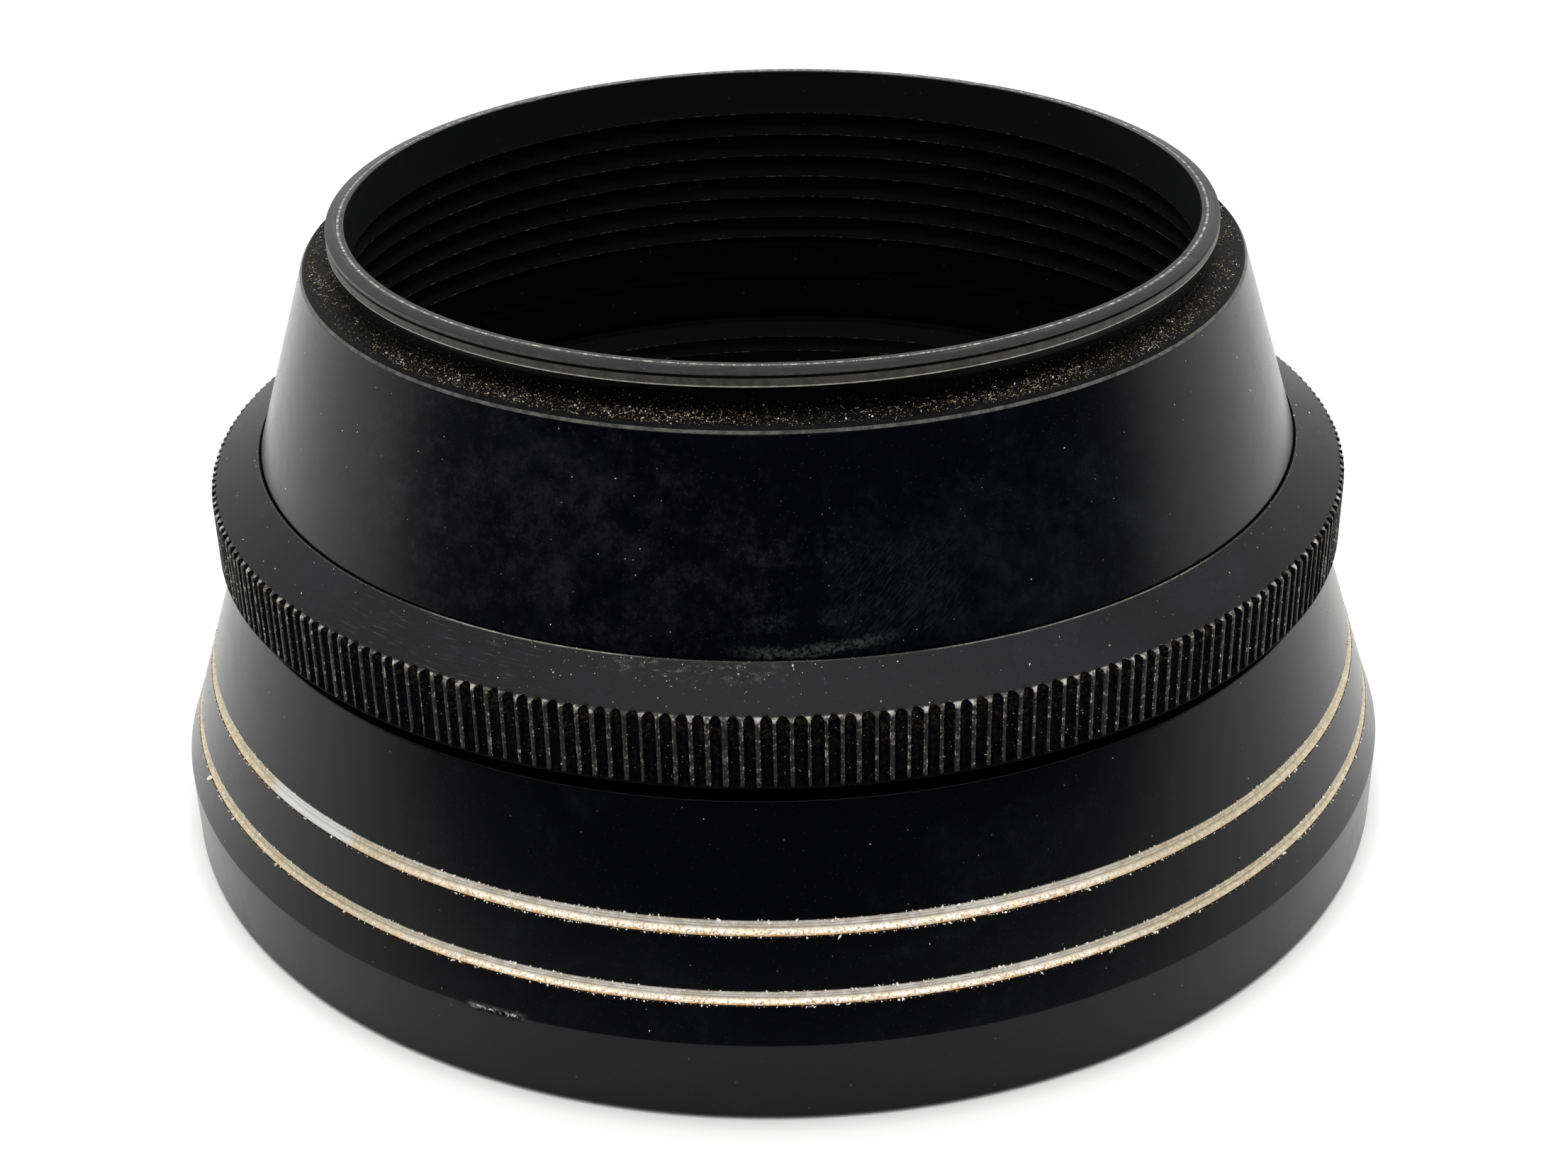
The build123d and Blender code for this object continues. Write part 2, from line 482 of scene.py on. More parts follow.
def inside_black(name, first_crest_z, crest_count):
    """Flat black bore paint: painted light on each ridge's lower slope and on the plain bore, painted shade
    under each crest, dashes of dust on the crests.
    """
    g, colour, rough = black_finish(name, roughness=0.62, dust=1.2, smudges=0.04)
    place = g.over(g.minus(first_crest_z, g.z), ridge_pitch)
    ridged = g.times(g.more_than(place, -0.3), g.less_than(place, crest_count - 0.7))
    above_ridges = g.less_than(place, 0.0)
    plain_bore = g.most(g.more_than(g.z, neck_bore_bottom_z), g.less_than(g.z, filter_ledge_z + 0.05))
    # painted light: the lower half of each ridge's slope and the plain bore above the ridges are lightened
    # towards LIT_BLACK; the half under each crest stays black as painted shade
    uneven = g.blend(g.noise(0.35, 5.0, 0.7), 0.45, 1.35)
    painted_lit_slopes = g.times(g.step(g.math("FRACT", place), 0.50, 0.86), uneven, ridged)
    painted_light = g.most(painted_lit_slopes, g.times(above_ridges, plain_bore, 0.8))
    colour = g.mix(g.times(painted_light, 0.50), colour, LIT_BLACK)
    from_crest = g.math("ABSOLUTE", g.minus(place, g.math("ROUND", place)))
    dashes = g.step(streaked(g, 1.5, 4.0, 0.75, 30.0, g.z, 3.0), 0.52, 0.66)
    dusty = g.times(g.step(from_crest, 0.02, 0.06, 1.0, 0.0), ridged, dashes)
    colour = g.mix(g.times(dusty, 0.36), colour, PALE_DUST)
    return g.finish(colour, rough, specular=0.03)


def rim_metal(name):
    """Lens-end rim and thread: black worn to grey, with concentric scratches and bare crests."""
    g, colour, rough = black_finish(name, roughness=0.36)
    near_top = g.step(g.z, top_z - 1.4, top_z - 1.1)
    colour = g.mix(g.times(near_top, 0.12), colour, WORN_BLACK)
    patchy = g.patches(1.3, 4.0, 0.7, 0.36, 0.62)
    scratches = g.patches(16.0, 2.0, 0.8, 0.50, 0.66, vector=g.join(g.r, g.z, g.times(g.azimuth, 0.6)))
    dashes = g.patches(1.0, 5.0, 0.8, 0.46, 0.58, vector=g.join(g.times(g.azimuth, 45.0), 0.0, 0.0))
    top = g.step(g.z, top_z - 0.10, top_z - 0.02)
    inner_line = g.near(g.r, neck_bore_r + 0.40, 0.05, 0.05)
    crest = g.times(g.step(g.r, thread_r - 0.05, thread_r - 0.01), near_top)
    turn_share = g.math("FRACT", g.plus(g.over(g.azimuth, 2 * math.pi), -thread_start / 360))
    crest_edge = g.near(g.z, g.plus(g.times(turn_share, thread_pitch), thread_low_z), 0.06, 0.05)
    shoulder_edge = g.near(g.z, shoulder_edge_z + 0.09, 0.09, 0.05)
    wear = g.most(
        g.times(scratches, top, 0.10),
        g.times(crest, g.blend(patchy, 0.07, 0.13)),
        g.times(crest, crest_edge, g.blend(patchy, 0.6, 1.0)),
        g.times(inner_line, top, g.blend(dashes, 0.12, 1.0)),
        g.times(shoulder_edge, g.blend(patchy, 0.08, 0.22)),
    )
    return g.finish(g.mix(wear, colour, BARE_THREAD), rough, specular=0.13)


def undercut_black(name):
    """Dull, never-rubbed black of the thread relief and the shoulder under its dirt."""
    g, colour, rough = black_finish(name, roughness=0.60, dust=1.5)
    on_flat = g.step(g.z, shoulder_z + 0.05, shoulder_z + 0.5, 1.0, 0.12)
    film = g.times(g.patches(2.2, 5.0, 0.75, 0.42, 0.72), on_flat)
    colour = g.mix(g.times(film, 0.06), colour, FLAT_DIRT)
    return g.finish(colour, rough, specular=0.06)


def ring_black(name):
    """Matte black of the coupling ring, greyed on the crown, bare at the knurl's edges and tips."""
    g, colour, rough = black_finish(name, roughness=0.42, dust=1.7, haze=0.13, smudges=0.6)
    below_crown = g.minus(g.plus(g.times(g.minus(ring_r, g.r), crown_fall), ring_edge_z), g.z)
    broken = g.patches(2.3, 5.0, 0.78, 0.53, 0.63)

    # knurl: tips between the grooves, the arch over each groove, and the edges of the lands
    near_edge = g.step(g.z, ring_edge_z - 0.24, ring_edge_z + 0.02)
    tips = g.times(near_edge, g.step(g.r, ring_r - 0.33, ring_r - 0.18))
    arches = g.times(g.near(below_crown, 0.034, 0.012, 0.012), g.step(g.r, ring_r - 0.60, ring_r - 0.50))
    above_foot = g.step(g.z, knurl_bottom_z, knurl_bottom_z + 0.3)
    land_edges = g.times(g.near(g.r, ring_r - 0.035, 0.015, 0.03), above_foot)
    lands = g.times(g.step(g.r, ring_r - 0.10, ring_r - 0.03), g.patches(3.6, 4.0, 0.7, 0.50, 0.66))

    # crown: a swirled smear, hair scratches, and the inner edge rubbed bare in two places
    swirl = g.step(streaked(g, 1.6, 5.0, 0.72, 26.0, g.r, 1.5), 0.50, 0.70)
    smear = g.times(sector(g, -8.0, 4.5, 6.0), g.near(g.r, lip_bore_r + 0.75, 0.30, 0.55), swirl)
    hairs = g.step(streaked(g, 2.2, 4.0, 0.75, 7.0, g.r, 4.0), 0.56, 0.70)
    scratches = g.times(sector(g, -34.0, 7.0, 9.0), hairs, g.step(below_crown, 0.0, 0.01, 1.0, 0.0))
    above_lip = g.step(g.z, ring_lip_z + 0.6, ring_lip_z + 0.8)
    inner_edge = g.times(g.near(g.r, lip_bore_r + 0.12, 0.05, 0.08), above_lip)
    left, right = sector(g, -25.0, 8.0, 6.0), sector(g, 31.0, 12.0, 9.0)
    rubbed = g.most(g.times(left, 0.60), g.times(right, 0.42), 0.10)

    wear = g.most(
        g.times(tips, g.blend(g.patches(0.9, 5.0, 0.8, 0.46, 0.60), 0.06, 0.9)),
        g.times(land_edges, g.blend(broken, 0.01, 0.85)),
        g.times(arches, g.blend(broken, 0.03, 0.45)),
        g.times(lands, 0.05),
        g.times(smear, 0.16),
        g.times(scratches, 0.10),
        g.times(inner_edge, rubbed, g.blend(g.patches(1.6, 5.0, 0.75, 0.40, 0.62), 0.55, 1.0)),
    )
    return g.finish(g.mix(wear, colour, BARE_KNURL), rough, specular=0.11)


def knurl_dull(name):
    """Unrubbed black of the knurl's grooves and of the ring's foot, with dirt packed towards the top."""
    g, colour, rough = black_finish(name, roughness=0.55, dust=1.2, smudges=0.0)
    towards_top = g.step(g.z, knurl_bottom_z + 1.5, ring_edge_z, 0.15, 0.75)
    colour = g.mix(g.times(g.patches(2.8, 5.0, 0.75, 0.50, 0.68), towards_top), colour, SILT)
    return g.finish(colour, rough, specular=0.02)


def trim_metal(name, low, high):
    """Turned trim ring: grey above, a painted golden highlight on its lower lip, khaki at the sides, a
    painted shadow line at the step, with brown specks.
    """
    g = Graph(name)
    share = g.over(g.minus(g.z, low), high - low)
    # painted highlight: 1 on the lower lip, whose colour is painted bright and golden for the glint along the
    # bead; the khaki over the sides leaves it showing at the front
    lip_highlight = g.step(share, 0.40, 0.54, 1.0, 0.0)
    front = sector(g, -2.0, 22.0, 18.0)
    sides = g.minus(1.0, front)
    clean = g.times(sector(g, -47.5, 5.0, 2.0), g.more_than(g.z, (upper_trim_low + lower_trim_high) / 2))
    patina = g.noise(1.1, 5.0, 0.65)
    above = g.mix(g.step(patina, 0.35, 0.65), (0.70, 0.68, 0.62), (0.46, 0.42, 0.34))
    # bright golden colour of the painted highlight on the lower lip
    below = g.mix(g.step(patina, 0.35, 0.68), (1.0, 0.96, 0.86), (0.95, 0.84, 0.62))
    khaki = g.mix(g.patches(3.6, 5.0, 0.78, 0.36, 0.62), (0.70, 0.61, 0.43), (0.36, 0.30, 0.19))
    fine = g.noise(5.5, 4.0, 0.75)
    stain = g.times(g.step(fine, 0.51, 0.57), g.step(share, 0.10, 0.45, 1.0, 0.22), g.blend(front, 0.35, 1.0))
    grime = g.patches(2.4, 5.0, 0.7, 0.60, 0.72)
    foot_line = g.times(
        g.near(share, 0.08, 0.05, 0.05), g.patches(1.4, 4.0, 0.7, 0.35, 0.60), g.blend(front, 0.25, 0.85)
    )
    broken = g.step(g.noise(1.0, 3.0, 0.7), 0.30, 0.50, 0.2, 0.75)
    # painted shadow: a thin, broken dark line along the step at 0.595 of the height stands in for the shade
    # in that groove
    painted_shadow_line = g.times(g.near(share, 0.595, 0.012, 0.020), broken)
    colour = g.mix(lip_highlight, above, below)
    for amount, tint in (
        (g.times(sides, 0.85), khaki),
        (g.times(stain, 0.95), (0.34, 0.13, 0.03)),
        (g.times(grime, 0.55), (0.10, 0.075, 0.05)),
        (foot_line, (0.72, 0.38, 0.08)),
        # dark colour of the painted shadow line
        (painted_shadow_line, (0.13, 0.10, 0.07)),
        (clean, (0.60, 0.60, 0.58)),
    ):
        colour = g.mix(amount, colour, tint)
    tarnish = g.times(g.most(g.times(stain, 0.85), grime, g.times(sides, 0.75)), g.minus(1.0, clean))
    g.bump(g.plus(g.times(turned_lines(g, 13.0), 0.6), g.times(fine, 0.4)), 0.012)
    dull = g.blend(g.most(tarnish, g.times(clean, 0.4)), 0.38, 0.85)
    return g.finish(colour, dull, g.times(g.blend(lip_highlight, 0.25, 0.42), g.minus(1.0, tarnish)))


def grain_finish(name, pale, dark):
    """Loose dirt whose colour changes from grain to grain."""
    g = Graph(name)
    return g.finish(g.mix(g.patches(3.5, 2.0, 0.7, 0.35, 0.65), dark, pale), 0.95, specular=0.1)


def bare_flake(name):
    """Torn, weathered bare metal of the knocks."""
    g = Graph(name)
    tone = g.noise(6.0, 4.0, 0.7)
    g.bump(tone, 0.02)
    return g.finish(g.mix(g.step(tone, 0.35, 0.65), (0.30, 0.30, 0.26), (0.66, 0.67, 0.60)), 0.55, 0.2)


def wire_steel(name):
    g = Graph(name)
    lines = g.noise(9.0, 2.0, 0.6)
    g.bump(lines, 0.01)
    colour = g.mix(lines, (0.30, 0.30, 0.29), (0.46, 0.45, 0.43))
    return g.finish(colour, g.blend(lines, 0.25, 0.4), 1.0)


# ---------------- pieces

FINE = 0.05                 # usual broken edge of a turned corner
OUTSIDE, INSIDE, RIM, UNDERCUT = 0, 1, 2, 3     # material tags of a turned outline's faces
GROOVE = 2                  # tag of the coupling ring's dull faces


def ridge_corners(crest_r, start_z, depth):
    """Saw-tooth bore going down, with slightly rounded crests."""
    corners = []
    for i in range(ridge_count):
        z = start_z - i * ridge_pitch
        corners.append((crest_r(z), z, FINE, INSIDE))
        corners.append((crest_r(z) + depth, z - ridge_undercut, FINE, INSIDE))
    return corners


def thread_shape(r, z, azimuth):
    """Cuts the right-hand lens thread, its run-out and its lead chamfer into the neck."""
    neck = (r > relief_r - 0.02) & (z > shoulder_z + 0.8)
    turn_share = ((np.degrees(azimuth) - thread_start) % 360) / 360
    lowest = thread_low_z + thread_pitch * turn_share
    flat = thread_crest / 2
    flank = 1 / math.tan(math.radians(thread_angle / 2))
    cut = np.full(z.shape, relief_r)
    fade = np.clip(turn_share / thread_fade, 0, 1)
    for k in range(thread_turns):
        centre = lowest + flat + k * thread_pitch
        ridge = thread_r - np.maximum(0, np.abs(z - centre) - flat) * flank
        floor = thread_root_r if k else relief_r
        if k == 0:
            ridge = relief_r + (ridge - relief_r) * fade
        cut = np.where((z > centre - thread_pitch / 2) | (k == 0), np.maximum(cut, ridge), cut)
        cut = np.where(z > centre, np.maximum(cut, floor), cut)
    lead = rim_outer_r + (top_z - z) * lead_slope
    return np.where(neck, np.minimum(cut, lead), r), z


def rim_chips(r, z, azimuth):
    """The threaded neck, with small knocks in the top rim given as azimuth, width and depth."""
    r, z = thread_shape(r, z, azimuth)
    knocked = 0.2               # height of rim that a knock reaches down to
    below = top_z - knocked
    for centre, width, depth in [(-141.3, 1.3, 0.06), (-120, 0.7, 0.05), (63, 0.8, 0.05), (148, 0.9, 0.06)]:
        knock = np.exp(-(degrees_from(azimuth, centre) / width) ** 2) * depth
        z = np.where(z > below, z - knock * np.clip((z - below) / knocked, 0, 1), z)
    rough = 0.004 * waves(azimuth, 5, 40, 300, 40)
    return r, np.where(z > top_z - 0.01, z - np.abs(rough), z)


def build_rear_cone():
    slope = (rear_mouth_r - neck_bore_r) / (neck_bore_bottom_z - joint_z)

    def bore_r(z):
        return neck_bore_r + slope * (neck_bore_bottom_z - z)

    last = neck_bore_bottom_z - (ridge_count - 1) * ridge_pitch
    lower = [
        (spigot_r, joint_z, FINE, INSIDE),
        (spigot_r, flange_low_z, FINE, INSIDE),
        (flange_r, flange_low_z, FINE, INSIDE),
        (flange_r, flange_high_z, FINE, INSIDE),
        (cone_foot_r, flange_high_z, FINE, OUTSIDE),
        (cone_foot_r, cone_foot_z, FINE, OUTSIDE),
        (shoulder_edge_r, shoulder_edge_z, 0.06, RIM),
        (shoulder_edge_r - 0.17, shoulder_edge_z + 0.18, 0, UNDERCUT),
        (shoulder_flat_r, shoulder_z, 0.06, UNDERCUT),
        (relief_r, shoulder_z, 0.06, UNDERCUT),
    ]
    thread_row = 0.028          # spacing of the rows that the thread is cut in
    neck_heights = np.arange(shoulder_z + 1.0, top_z - 0.01, thread_row)
    neck_rows = [(relief_r, z, RIM if z > shoulder_z + 1.1 else UNDERCUT) for z in neck_heights]
    upper = [
        (neck_bore_r, top_z, 0.06, INSIDE),
        *ridge_corners(bore_r, neck_bore_bottom_z, slope * ridge_pitch + 0.15),
        (rear_mouth_r - 0.9, last - 1.0, FINE, INSIDE),
        (rear_mouth_r + 0.4, last - 1.2, FINE, INSIDE),
        (rear_mouth_r + 0.4, joint_z + 0.6, FINE, INSIDE),
        (rear_mouth_r, joint_z + 0.3, FINE, INSIDE),
        (rear_mouth_r, joint_z, FINE, INSIDE),
    ]
    rows = soften(lower + [(relief_r, shoulder_z + 0.95, 0, UNDERCUT), (rim_outer_r, top_z, 0, RIM)] + upper)
    start = next(i for i, row in enumerate(rows) if row[1] >= shoulder_z + 0.94 and row[0] > relief_r - 0.01)
    end = next(i for i, row in enumerate(rows) if row[1] >= top_z - 0.001 and row[0] <= rim_outer_r + 0.001)
    rows = rows[:start + 1] + neck_rows + rows[end:]
    return turn("rear_cone_turned", rows, columns=1080, shape=rim_chips)


def knurl_rows():
    """Outline of the ring's foot and wall as (r, z, share of the knurl's depth)."""
    foot = [(0.18, 0.0), (0.08, 0.02), (0.02, 0.08), (0.0, 0.15)]
    run_out = [(0.0, 0), (0.04, 0.35), (0.09, 0.62), (0.16, 0.84), (0.25, 0.96), (0.38, 1)]
    rows = [(ring_bore_r + 0.3, ring_bottom_z, 0)]
    rows += [(ring_r - inset, ring_bottom_z + up, 0) for inset, up in foot]
    rows += [(ring_r, knurl_bottom_z + up, share) for up, share in run_out]
    rows += [(ring_r, z, 1) for z in np.linspace(knurl_bottom_z + 0.7, ring_edge_z - 0.12, 9)]
    return rows


def groove(azimuth):
    """Depth of the knurl round the ring: rounded V grooves with flat lands, each a little different."""
    place = azimuth / (2 * math.pi) * knurl_count
    index = np.round(place).astype(int) % knurl_count
    random = np.random.default_rng(7)
    width = (1 - knurl_land) * random.uniform(0.88, 1.08, knurl_count)[index]
    depth = knurl_depth * random.uniform(0.86, 1.0, knurl_count)[index]
    aside = random.uniform(-0.035, 0.035, knurl_count)[index]
    across = np.abs(place - np.round(place) - aside) / (width / 2)
    return np.where(across < 1, depth * (1 - np.clip(across, 0, 1) ** 2.2), 0)


def build_coupling_ring():
    columns_per_groove = 16
    columns = knurl_count * columns_per_groove
    depth = groove(np.linspace(0, 2 * math.pi, columns, endpoint=False))
    wall = knurl_rows()
    rows = [(r - depth * share, np.full(columns, z)) for r, z, share in wall]

    wall_r = ring_r - depth
    for inset, down in ((0, 0.05), (0.012, 0.018)):
        rows.append((wall_r - inset, crown_z(wall_r) - down))
    inner_start = ring_r - knurl_depth - 0.12
    for share in (0, 0.45, 1.0):
        r = (wall_r - 0.045) * (1 - share) + inner_start * share
        rows.append((r, crown_z(r)))
    for r in np.linspace(inner_start - 0.4, lip_bore_r + 0.22, 7):
        rows.append((np.full(columns, r), np.full(columns, crown_z(r))))
    outside_rows = len(rows)

    for r, z in (
        (lip_bore_r + 0.14, crown_z(lip_bore_r + 0.14)),
        (lip_bore_r + 0.05, ring_crown_z - 0.02),
        (lip_bore_r, ring_crown_z - lip_edge),
        (lip_bore_r, ring_lip_z + 0.05),
        (lip_bore_r + 0.05, ring_lip_z),
        (ring_bore_r - 0.02, ring_lip_z),
        (ring_bore_r, ring_lip_z - 0.02),
        (ring_bore_r, wire_z + wire_groove_half),
        (wire_groove_r, wire_z + wire_groove_half),
        (wire_groove_r, wire_z - wire_groove_half),
        (ring_bore_r, wire_z - wire_groove_half),
        (ring_bore_r, ring_bottom_z + 0.3),
    ):
        rows.append((np.full(columns, r), np.full(columns, z)))

    tags = np.full((len(rows), columns), OUTSIDE)
    tags[outside_rows:] = INSIDE
    foot_rows, unrubbed_depth = 5, 0.07
    sunk = (depth + np.roll(depth, -1)) / 2 > unrubbed_depth
    tags[:len(wall), sunk] = GROOVE
    tags[:foot_rows] = GROOVE
    r, z = (np.array(grid) for grid in zip(*rows))
    piece = turn("coupling_ring_knurled", [(0, 0, 0)] * len(rows), columns, lambda *_: (r, z))
    piece.data.polygons.foreach_set("material_index", tags.ravel().astype(np.int32))
    return piece


def trim_groove(low, high):
    return [
        (shade_r(low), low, 0.03, OUTSIDE),
        (shade_r(low) - trim_depth, low, 0, OUTSIDE),
        (shade_r(high) - trim_depth, high, 0, OUTSIDE),
        (shade_r(high), high, 0.03, OUTSIDE),
    ]


def shade_knocks(r, z, azimuth):
    """Chips along the band's top edge and the mouth's edge: azimuth, half width, depth and height."""
    random = np.random.default_rng(12)
    for centre, spread, depth, height in [
        (-25.6, 0.9, 0.16, band_top_z), (-24.0, 0.8, 0.20, band_top_z), (-22.4, 0.7, 0.14, band_top_z),
        (-32.6, 0.7, 0.18, 0.15), (-30.6, 1.0, 0.26, 0.15), (-29.0, 0.6, 0.16, 0.15),
        (71, 0.8, 0.14, 0.15), (140, 1.1, 0.18, 0.15), (-98, 0.8, 0.14, band_top_z),
    ]:
        rough = 1 + 0.5 * waves(azimuth, int(random.integers(1000)), 200, 500, 12)
        along = np.exp(-np.abs(degrees_from(azimuth, centre) / spread) ** 3) * rough
        across = np.clip(1 - np.abs(z - height) / 0.30, 0, 1)
        r = np.where(r > shade_r(z) - 1.0, r - np.clip(along * across, 0, 1.2) * depth, r)
    return r, z


def build_front_shade():
    corners = [
        (band_r - 0.26, mouth_z, 0.05, OUTSIDE),
        (band_r, mouth_z + 0.3, 0.12, OUTSIDE),
        (band_r, mouth_z + 0.7, 0, OUTSIDE),
        (band_r, band_top_z - 0.35, 0, OUTSIDE),
        (band_r, band_top_z, 0.03, OUTSIDE),
        (shade_r(band_top_z + 0.35), band_top_z + 0.35, 0, OUTSIDE),
        *trim_groove(lower_trim_low, lower_trim_high),
        *trim_groove(upper_trim_low, upper_trim_high),
        (shade_r(neck_foot_z), neck_foot_z, 0.08, INSIDE),
        (neck_r - 0.4, neck_foot_z, 0.05, INSIDE),
        (neck_r - 0.4, ring_bottom_z - 0.5, 0.05, INSIDE),
        (neck_r, ring_bottom_z - 0.1, 0.05, INSIDE),
        (neck_r, joint_z - 0.3, 0.05, INSIDE),
        (neck_r - 0.3, joint_z, 0.05, INSIDE),
        (filter_seat_r, joint_z, FINE, INSIDE),
        (filter_seat_r, filter_ledge_z, FINE, INSIDE),
        (ledge_r, filter_ledge_z, 0.08, INSIDE),
        (ledge_r, ledge_bottom_z, FINE, INSIDE),
        (shade_r(ledge_bottom_z) - shade_wall + ridge_depth, ledge_bottom_z - ridge_undercut, FINE, INSIDE),
        *ridge_corners(lambda z: shade_r(z) - shade_wall, ledge_bottom_z - ridge_pitch, ridge_depth),
        (mouth_inner_r - 0.3, 1.2, FINE, INSIDE),
        (mouth_inner_r, mouth_z, 0.08, INSIDE),
    ]
    return turn("front_shade_turned", soften(corners), columns=1440, shape=shade_knocks)


def build_trim(name, low, high, seed):
    """A trim ring: a bead on its lower edge, a V beside it, a fine tool line higher up, corroded all over.

    The profile gives how deep the surface is sunk at each share of the ring's height.
    """
    bead = [(0.0, 0.09), (0.03, 0.03), (0.08, 0.0), (0.15, 0.01)]
    vee = [(0.25, 0.085), (0.35, 0.165), (0.44, 0.235), (0.49, 0.25), (0.52, 0.20), (0.555, 0.07)]
    tool_line = [(0.60, 0.045), (0.71, 0.04), (0.735, 0.095), (0.765, 0.095), (0.79, 0.04)]
    upper_edge = [(0.90, 0.03), (0.96, 0.04), (1.0, 0.11)]
    rows = [(shade_r(low) - trim_depth + 0.02, low + 0.01, 0)]
    for share, sunk in bead + vee + tool_line + upper_edge:
        z = low + 0.005 + (high - low - 0.01) * share
        rows.append((shade_r(z) - sunk, z, 0))
    rows.append((shade_r(high) - trim_depth + 0.02, high - 0.01, 0))

    def corroded(r, z, azimuth):
        share = (z - low) / (high - low)
        pits = 0.010 * waves(azimuth + 6 * share / 40, seed, 150, 900, 60)
        return np.where(r > shade_r(z) - 0.2, r - np.abs(pits), r), z

    return turn(name, rows, columns=2160, shape=corroded)


rear = build_rear_cone()
for material in (
    cone_finish("cone_outside"),
    inside_black("cone_inside", neck_bore_bottom_z, ridge_count),
    rim_metal("rim_worn"),
    undercut_black("undercut_dull"),
):
    rear.data.materials.append(material)
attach(rear, "rear_section")
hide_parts("rear_cone")

ring = build_coupling_ring()
for material in (
    ring_black("ring_outside"),
    inside_black("ring_inside", ring_lip_z, 0),
    knurl_dull("knurl_dull"),
):
    ring.data.materials.append(material)
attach(ring, "ring")
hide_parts("coupling_ring")

shade = build_front_shade()
for material in (
    shade_finish("shade_outside"),
    inside_black("shade_inside", ledge_bottom_z, ridge_count + 1),
):
    shade.data.materials.append(material)
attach(shade, "front_section")
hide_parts("front_shade")

for node, low, high, seed in [
    ("upper_trim_ring", upper_trim_low, upper_trim_high, 21),
    ("lower_trim_ring", lower_trim_low, lower_trim_high, 22),
]:
    trim = build_trim(node + "_turned", low, high, seed)
    trim.data.materials.append(trim_metal(node + "_patina", low, high))
    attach(trim, "front_section")
    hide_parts(node)

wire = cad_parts["keeper_wire"]
wire_material = wire_steel("keeper_steel")
for material_slot in wire.material_slots:
    material_slot.material = wire_material


# ---------------- loose dust, grains and lint

REAR = ("rear_section", "cone_black")       # body that dirt on each section rides on, and a slot name that nothing reads
RING = ("ring", "ring_black")
FRONT = ("front_section", "shade_black")

# seeds of the drifts: layers that share one gather in the same places
SHOULDER_DRIFTS, CONE_DRIFTS, SHADE_DRIFTS, CROWN_DRIFTS, SEAM_DRIFTS = 3, 5, 6, 8, 9
KNURL_DIRT_DRIFTS, KNURL_FLECK_DRIFTS, SPECK_DRIFTS, RUST_DRIFTS = 10, 11, 12, 13
grit_sizes = (0.022, 0.05)


def at(azimuth, r, z):
    """Points in millimetres from azimuths in radians, radii and heights."""
    return np.stack((r * np.sin(azimuth), -r * np.cos(azimuth), z), axis=-1)


def random_turns(random, count):
    """Random rotation matrices, shape (count, 3, 3), from random unit quaternions."""
    q = random.normal(size=(count, 4))
    q /= np.linalg.norm(q, axis=1, keepdims=True)
    w, x, y, z = q.T
    return np.stack((
        1 - 2 * (y * y + z * z), 2 * (x * y - z * w), 2 * (x * z + y * w),
        2 * (x * y + z * w), 1 - 2 * (x * x + z * z), 2 * (y * z - x * w),
        2 * (x * z - y * w), 2 * (y * z + x * w), 1 - 2 * (x * x + y * y),
    ), axis=1).reshape(count, 3, 3)


def lay(name, vertices, faces, section, material):
    """Puts loose dirt on the body of a section of the hood; the section is given as its body and slot, and
    the slot is not used.
    """
    body, slot = section
    piece = make_object(name, vertices, faces, smooth=False)
    piece.data.materials.append(material)
    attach(piece, body)


def grains(name, centres, sizes, random, section, material):
    """Small lumps of dirt: stretched eight-sided grains, each a closed solid."""
    corner = np.array([(1, 0, 0), (-1, 0, 0), (0, 1, 0), (0, -1, 0), (0, 0, 1), (0, 0, -1)], float)
    face = np.array([(0, 2, 4), (2, 1, 4), (1, 3, 4), (3, 0, 4), (2, 0, 5), (1, 2, 5), (3, 1, 5), (0, 3, 5)])
    count = len(centres)
    long, wide, thick = (random.uniform(*span, count) for span in ((0.8, 1.7), (0.6, 1.1), (0.4, 0.8)))
    local = corner[None] * (np.stack((long, wide, thick), 1) * sizes[:, None] / 2)[:, None, :]
    local = np.einsum("nij,nkj->nki", random_turns(random, count), local)
    vertices = (local + centres[:, None, :]).reshape(-1, 3)
    faces = (face[None] + len(corner) * np.arange(count)[:, None, None]).reshape(-1, 3)
    lay(name, vertices, faces, section, material)


